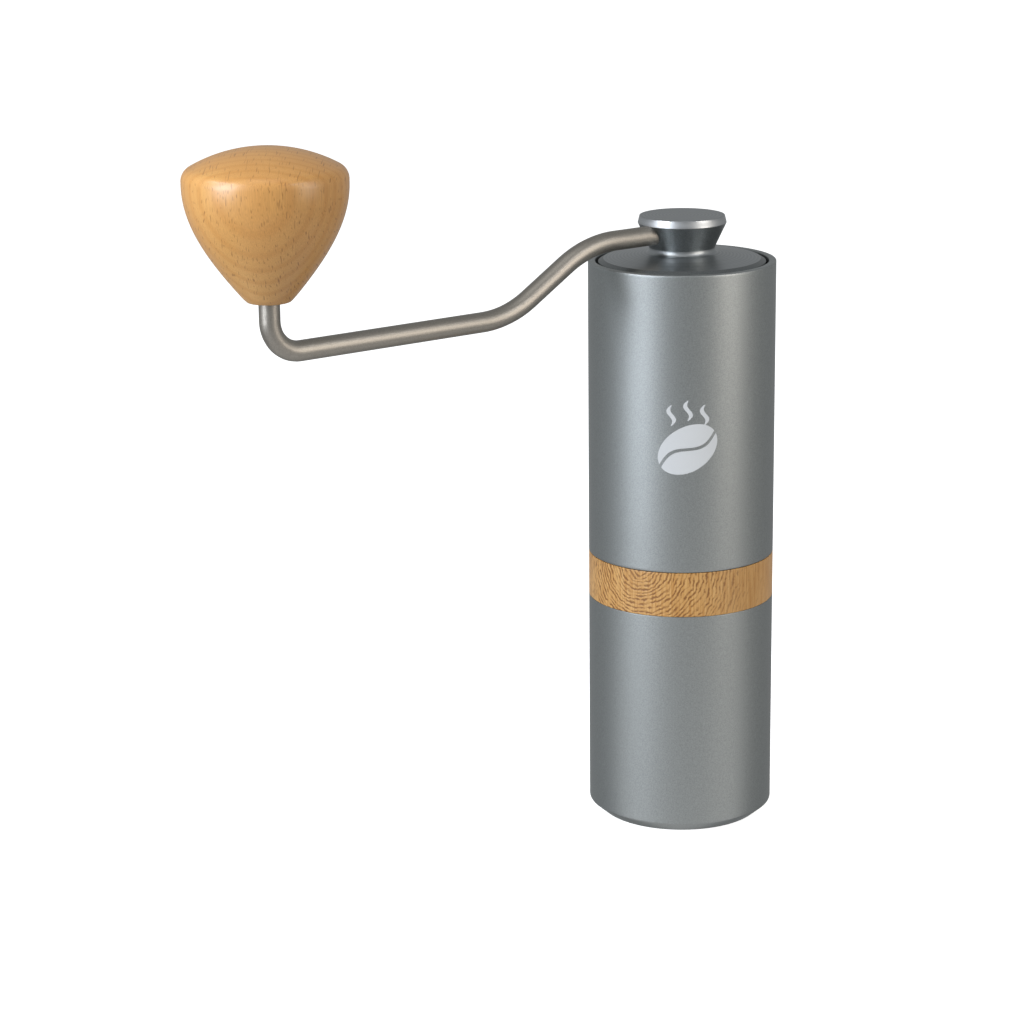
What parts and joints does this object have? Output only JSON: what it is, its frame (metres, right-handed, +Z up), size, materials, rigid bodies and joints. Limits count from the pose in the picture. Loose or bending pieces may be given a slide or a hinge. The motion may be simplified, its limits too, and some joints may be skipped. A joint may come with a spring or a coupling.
{
  "type": "hand crank coffee grinder",
  "caption": "Slim aluminium hand coffee grinder with a cranked steel arm, a turned wood knob, a wood band above the grounds cup and a conical steel burr set.",
  "frame": {"origin": "centre of the grounds cup's flat base", "axes": "+Z up along the shaft, -X along the crank arm towards the knob, +Y completes the right-handed frame"},
  "size_m": [0.167, 0.048, 0.1871],
  "materials": {
    "cup_aluminium": "bead-blasted, grey anodised",
    "tube_aluminium": "bead-blasted, grey anodised",
    "cap_aluminium": "turned, dark grey anodised, polished edges",
    "carrier_aluminium": "turned, clear anodised",
    "dial_aluminium": "knurled, black anodised",
    "rod_steel": "bead-blasted stainless steel",
    "shaft_steel": "ground stainless steel",
    "burr_steel": "machined hardened steel",
    "bearing_steel": "polished bearing steel",
    "spring_steel": "bright spring wire",
    "clip_steel": "blackened spring steel",
    "bush_brass": "turned",
    "knob_wood": "turned beech, satin lacquer",
    "band_wood": "figured oak, satin lacquer",
    "glide_plastic": "black acetal",
    "seal_rubber": "black silicone",
    "cage_plastic": "natural nylon"
  },
  "bodies": {
    "cup": {"grounds_cup": "cup_aluminium", "wood_ring": "band_wood"},
    "body": {"body_tube": "tube_aluminium", "upper_carrier": "carrier_aluminium", "carrier_snap_ring": "clip_steel", "upper_bearing_outer": "bearing_steel", "upper_bearing_shields": "bearing_steel", "burr_carrier": "carrier_aluminium", "lower_bearing_outer": "bearing_steel", "lower_bearing_shields": "bearing_steel", "outer_burr": "burr_steel", "burr_pins": "shaft_steel", "thread_collar": "carrier_aluminium", "collar_oring": "seal_rubber"},
    "upper_cage": {"upper_bearing_balls": "bearing_steel", "upper_bearing_cage": "cage_plastic"},
    "lower_cage": {"lower_bearing_balls": "bearing_steel", "lower_bearing_cage": "cage_plastic"},
    "drive": {"main_shaft": "shaft_steel", "upper_bearing_inner": "bearing_steel", "lower_bearing_inner": "bearing_steel", "shaft_circlips": "clip_steel", "shaft_end_clip": "clip_steel", "spring_washer": "shaft_steel", "inner_burr": "burr_steel", "burr_spring": "spring_steel", "detent_balls": "bearing_steel", "detent_springs": "spring_steel"},
    "dial": {"adjusting_dial": "dial_aluminium"},
    "crank": {"crank_cap": "cap_aluminium", "hub_socket": "shaft_steel", "rod_grub_screw": "clip_steel", "crank_rod": "rod_steel", "lid_glide_ring": "glide_plastic", "knob_snap_ring": "clip_steel"},
    "knob": {"wood_knob": "knob_wood", "knob_bush": "bush_brass", "knob_thrust_disc": "shaft_steel"}
  },
  "joints": [
    {"name": "cup_release", "type": "slide", "parent": "cup", "child": "body", "axis": [0, 0, 1], "range_m": [0, 0.06]},
    {"name": "crank_turn", "type": "hinge", "parent": "body", "child": "drive", "pos_m": [0, 0, 0.12], "axis": [0, 0, 1], "continuous": true},
    {"name": "upper_cage_turn", "type": "hinge", "parent": "body", "child": "upper_cage", "pos_m": [0, 0, 0.122], "axis": [0, 0, 1], "continuous": true},
    {"name": "lower_cage_turn", "type": "hinge", "parent": "body", "child": "lower_cage", "pos_m": [0, 0, 0.0928], "axis": [0, 0, 1], "continuous": true},
    {"name": "grind_adjust", "type": "hinge", "parent": "drive", "child": "dial", "pos_m": [0, 0, 0.0685], "axis": [0, 0, 1], "range_deg": [-450, 60]},
    {"name": "crank_lift_off", "type": "slide", "parent": "drive", "child": "crank", "axis": [0, 0, 1], "range_m": [0, 0.03]},
    {"name": "knob_spin", "type": "hinge", "parent": "crank", "child": "knob", "pos_m": [-0.1238, 0, 0.165], "axis": [0, 0, 1], "continuous": true}
  ],
  "couplings": [
    {"joint": "upper_cage_turn", "follows": "crank_turn", "ratio": 0.40083},
    {"joint": "lower_cage_turn", "follows": "crank_turn", "ratio": 0.40083}
  ]
}
